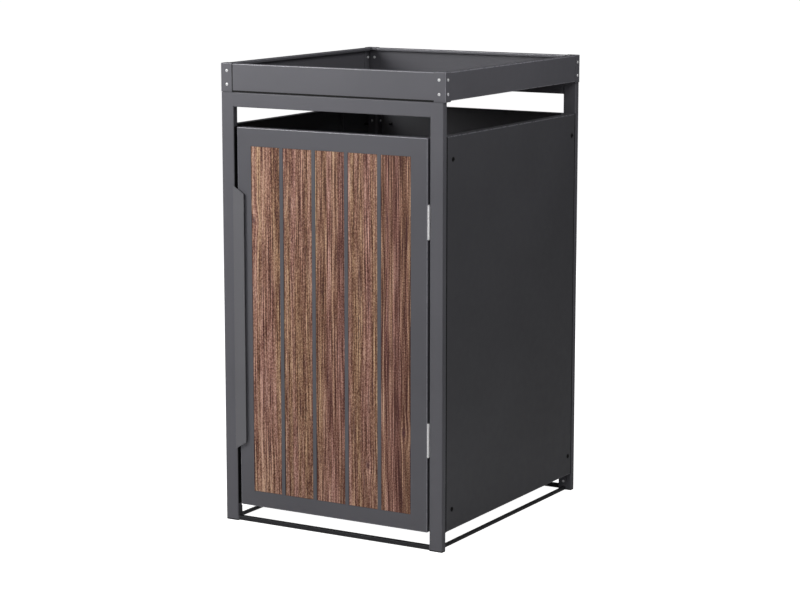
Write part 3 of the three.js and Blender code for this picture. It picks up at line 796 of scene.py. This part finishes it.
def make_ground_welds():
    """Welds ground flush where the top rails meet the posts, and round the tray's front right corner."""
    for back_name, way in (("front", -1), ("rear", 1)):
        low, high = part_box(f"top_rail_{back_name}")
        face = low.y if way < 0 else high.y
        for side_name, x in (("left", low.x), ("right", high.x)):
            near, far = sorted((face + way * PATCH_PROUD, face - way * PATCH_DEEP))
            start = (x - PATCH_HALF, near, low.z + FOLD_RADIUS)
            end = (x + PATCH_HALF, far, high.z - FOLD_RADIUS)
            patch = slab(start, end, PATCH_EDGE)
            add_piece(f"weld_ground_{back_name}_{side_name}", patch, "cabinet", "frame_paint")
    outer_x, outer_y = tray_corner("front_right")
    low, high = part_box("tray_board_front")
    bottom, top = low.z + FOLD_RADIUS, high.z - FOLD_RADIUS
    x = outer_x - CORNER_LEGS[0]
    y = outer_y + CORNER_LEGS[1]
    start = (x - PATCH_HALF, outer_y - PATCH_PROUD, bottom)
    patch = slab(start, (x + PATCH_HALF, outer_y + PATCH_DEEP, top), PATCH_EDGE)
    add_piece("weld_ground_tray_front", patch, "cabinet", "tray_paint")
    start = (outer_x - PATCH_DEEP, y - PATCH_HALF, bottom)
    patch = slab(start, (outer_x + PATCH_PROUD, y + PATCH_HALF, top), PATCH_EDGE)
    add_piece("weld_ground_tray_right", patch, "cabinet", "tray_paint")


def make_board_shade_strips():
    """Black strips under the front and rear boards, each with a thin lip up the board's face: painted shade
    for the dark line under each board.
    """
    for back_name, way in (("front", -1), ("rear", 1)):
        low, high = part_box(f"tray_board_{back_name}")
        frame_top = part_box(f"top_rail_{back_name}")[1].z
        left = tray_corner(f"{back_name}_left")[0] + CORNER_LEGS[0]
        right, face = tray_corner(f"{back_name}_right")
        near, far = sorted((face - way * SHADE_STRIP_IN, face - way * (SHADE_STRIP_IN + BOARD_SHADE_WIDE)))
        start, end = left + SHADE_STRIP_CLEAR, right - CORNER_LEGS[0] - SHADE_STRIP_CLEAR
        bottom = frame_top + SHADE_STRIP_CLEAR
        strip = slab((start, near, bottom), (end, far, low.z - SHADE_STRIP_CLEAR), SHADE_STRIP_EDGE)
        add_piece(f"seal_board_{back_name}", strip, "cabinet", "black_plastic")
        near, far = sorted((face + way * SHADE_LINE_PROUD, face - way * SHADE_LINE_DEEP))
        lip = slab((start, near, bottom), (end, far, low.z + SHADE_STRIP_LIP), PATCH_EDGE)
        add_piece(f"seal_lip_{back_name}", lip, "cabinet", "black_plastic")


def make_door_shade_strip():
    """Black strip down the inner face of the post, beside the door's free edge: painted shade that keeps the
    gap between post and door dark.
    """
    post_low, post_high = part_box("post_front_left")
    door_low, door_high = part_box("door_frame")
    start = (post_high.x + SHADE_STRIP_CLEAR, post_low.y + DOOR_SHADE_IN, door_low.z)
    end = (post_high.x + DOOR_SHADE_THICK, post_high.y - DOOR_SHADE_IN, door_high.z)
    add_piece("shade_strip_door", slab(start, end, SHADE_STRIP_EDGE), "cabinet", "black_plastic")


def make_panel_shade_lines():
    """Black edge strips where the side panels meet the posts: a painted shadow line in the groove between
    each panel and its post.
    """
    for side_name, side in (("left", -1), ("right", 1)):
        low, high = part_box(f"side_panel_{side_name}")
        face = high.x if side > 0 else low.x
        across = sorted((face + side * SHADE_LINE_PROUD, face - side * SHADE_LINE_DEEP))
        for row_name, edge, way in (("front", low.y, 1), ("rear", high.y, -1)):
            along = sorted((edge, edge + way * SHADE_LINE_WIDE))
            strip = slab((across[0], along[0], low.z), (across[1], along[1], high.z), PATCH_EDGE)
            add_piece(f"shade_line_{side_name}_{row_name}", strip, "cabinet", "black_plastic")


def make_seam_shade_strips():
    """Black strips set back in the open seams between the corner pieces and the boards: painted shade that
    keeps the seams dark.
    """
    low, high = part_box("tray_board_front")
    parts = (("face", SHADE_STRIP_DEEP, low.z), ("rim", RIM_SHADE_DEEP, high.z - SHADE_STRIP_DEEP))
    for name, seams in TRAY_SEAMS.items():
        sign = CORNERS[name]
        outer = tray_corner(name)
        for axis, seam in enumerate(seams):
            across = 1 - axis
            start = outer[axis] - sign[axis] * (CORNER_LEGS[axis] + SHADE_STRIP_CLEAR)
            end = outer[axis] - sign[axis] * (CORNER_LEGS[axis] + seam - SHADE_STRIP_CLEAR)
            face = outer[across] - sign[across] * SHADE_STRIP_IN
            for part, deep, bottom in parts:
                back = face - sign[across] * deep
                spans = [None, None, (bottom, high.z - SHADE_STRIP_IN)]
                spans[axis] = sorted((start, end))
                spans[across] = sorted((face, back))
                strip = slab([span[0] for span in spans], [span[1] for span in spans], SHADE_STRIP_EDGE)
                add_piece(f"seal_{name}_{'xy'[axis]}_{part}", strip, "cabinet", "black_plastic")


# ---- Put together ----

FOLDED = [
    "side_panel_left", "side_panel_right", "back_panel",
    "tray_board_front", "tray_board_rear", "tray_board_left", "tray_board_right",
    "tray_corner_front_left", "tray_corner_front_right",
    "tray_corner_rear_left", "tray_corner_rear_right",
]


def finish_cad_nodes():
    for name, piece in NODES.items():
        slot = slot_of(name)
        piece.data.materials.clear()
        if slot == "plank_wood":
            piece.data.materials.append(plank_wood(name, *PLANK_LOOKS[name]))
        elif name.startswith("base_rail"):
            piece.data.materials.append(BASE_RAIL_PAINTED_SHADE_AND_LIGHT.get(name, BASE_RAIL_PAINTED_SHADE_AND_LIGHT["base_rail_front"]))
        else:
            piece.data.materials.append(MATERIALS[slot])
        if name.startswith("bolt_") or name in FOLDED or name in ("door_frame", "handle"):
            continue
        finish_node(name, PLANK_EDGE if slot == "plank_wood" else CUT_EDGE)


def make_folded_sheets():
    for name in FOLDED:
        folded_sheet(name)
    folded_sheet("door_frame", DOOR_SKIN)
    # The handle's cut edges take the same painted highlight.
    folded_sheet("handle", DOOR_SKIN, cut_edge=HANDLE_EDGE, cut_material=1)


def make_floor():
    """A pale floor that looks white to the camera."""
    bm = bmesh.new()
    corners = [(-1, -1), (1, -1), (1, 1), (-1, 1)]
    bm.faces.new([bm.verts.new((x * FLOOR_HALF, y * FLOOR_HALF, 0)) for x, y in corners])
    mesh = bpy.data.meshes.new("floor")
    bm.to_mesh(mesh)
    bm.free()
    floor = bpy.data.objects.new("floor", mesh)
    SCENE.collection.objects.link(floor)
    material, tree, shader = new_material("pale_floor")
    shader.inputs["Base Color"].default_value = FLOOR_PALE
    shader.inputs["Roughness"].default_value = 1.0
    shader.inputs["Specular IOR Level"].default_value = 0.0
    shader.inputs["Emission Color"].default_value = (1, 1, 1, 1)
    seen = node(tree, "ShaderNodeLightPath").outputs["Is Camera Ray"]
    tree.links.new(seen, shader.inputs["Emission Strength"])
    mesh.materials.append(material)


def make_world():
    """White behind the object, and a dim even light on it."""
    world = bpy.data.worlds.new("studio")
    world.use_nodes = True
    tree = world.node_tree
    tree.nodes.clear()
    seen = node(tree, "ShaderNodeLightPath").outputs["Is Camera Ray"]
    light = node(tree, "ShaderNodeBackground", {"Color": (1, 1, 1, 1), "Strength": WORLD_LIGHT}).outputs[0]
    white = node(tree, "ShaderNodeBackground", {"Color": (1, 1, 1, 1), "Strength": 1.0}).outputs[0]
    both = node(tree, "ShaderNodeMixShader", {0: seen, 1: light, 2: white}).outputs[0]
    node(tree, "ShaderNodeOutputWorld", {"Surface": both})
    SCENE.world = world


def add_area(name, place, target, size, power, glossy=True):
    light = bpy.data.lights.new(name, "AREA")
    light.shape = "SQUARE"
    light.size = size
    light.energy = power
    lamp = bpy.data.objects.new(name, light)
    SCENE.collection.objects.link(lamp)
    lamp.location = place
    direction = Vector(target) - Vector(place)
    lamp.rotation_mode = "QUATERNION"
    lamp.rotation_quaternion = direction.to_track_quat("-Z", "Y")
    lamp.visible_glossy = glossy


def make_lights():
    add_area("key", (-2.3, -2.7, 2.4), (0, -0.3, 0.8), 2.0, 33)
    add_area("near_left", (-1.1, -1.7, 1.9), (-0.2, -0.4, 1.0), 0.8, 19.5)
    add_area("front", (0.6, -4.2, 1.2), (0, -0.3, 0.7), 3.0, 28)
    add_area("front_right", (1.0, -2.8, 1.6), (0.2, -0.4, 0.8), 2.5, 6)
    add_area("near_right", (1.2, -0.9, 2.1), (0.3, 0, 1.0), 0.8, 5)
    add_area("right", (1.5, 0.2, 2.3), (0.35, 0, 1.0), 0.8, 9.5)
    add_area("top", (0.0, -0.4, 4.2), (0, 0, 1.0), 3.0, 9)
    add_area("back", (-1.5, 4.0, 2.2), (0, 0.4, 0.7), 2.0, 42, glossy=False)
    add_area("bay", (0.0, -0.1, 1.05), (0, 0, 0.4), 0.3, 0.6, glossy=False)


def make_camera():
    back = Vector((
        math.sin(AZIMUTH) * math.cos(ELEVATION),
        -math.cos(AZIMUTH) * math.cos(ELEVATION),
        math.sin(ELEVATION),
    ))
    data = bpy.data.cameras.new("camera")
    data.sensor_width = SENSOR
    data.lens = LENS
    camera = bpy.data.objects.new("camera", data)
    SCENE.collection.objects.link(camera)
    camera.location = AIM + back * DISTANCE
    camera.rotation_mode = "QUATERNION"
    camera.rotation_quaternion = (-back).to_track_quat("-Z", "Y")
    SCENE.camera = camera


SCENE.view_settings.view_transform = "Standard"
make_camera()
make_world()
make_lights()
make_floor()
finish_cad_nodes()
make_folded_sheets()
make_tray_rivets()
make_panel_bolts()
make_flange_screws()
make_door_screws()
make_hinge_screws()
make_catch_and_floor_screws()
make_rail_tabs()
make_rail_welds()
make_ground_welds()
make_board_shade_strips()
make_door_shade_strip()
make_panel_shade_lines()
make_seam_shade_strips()
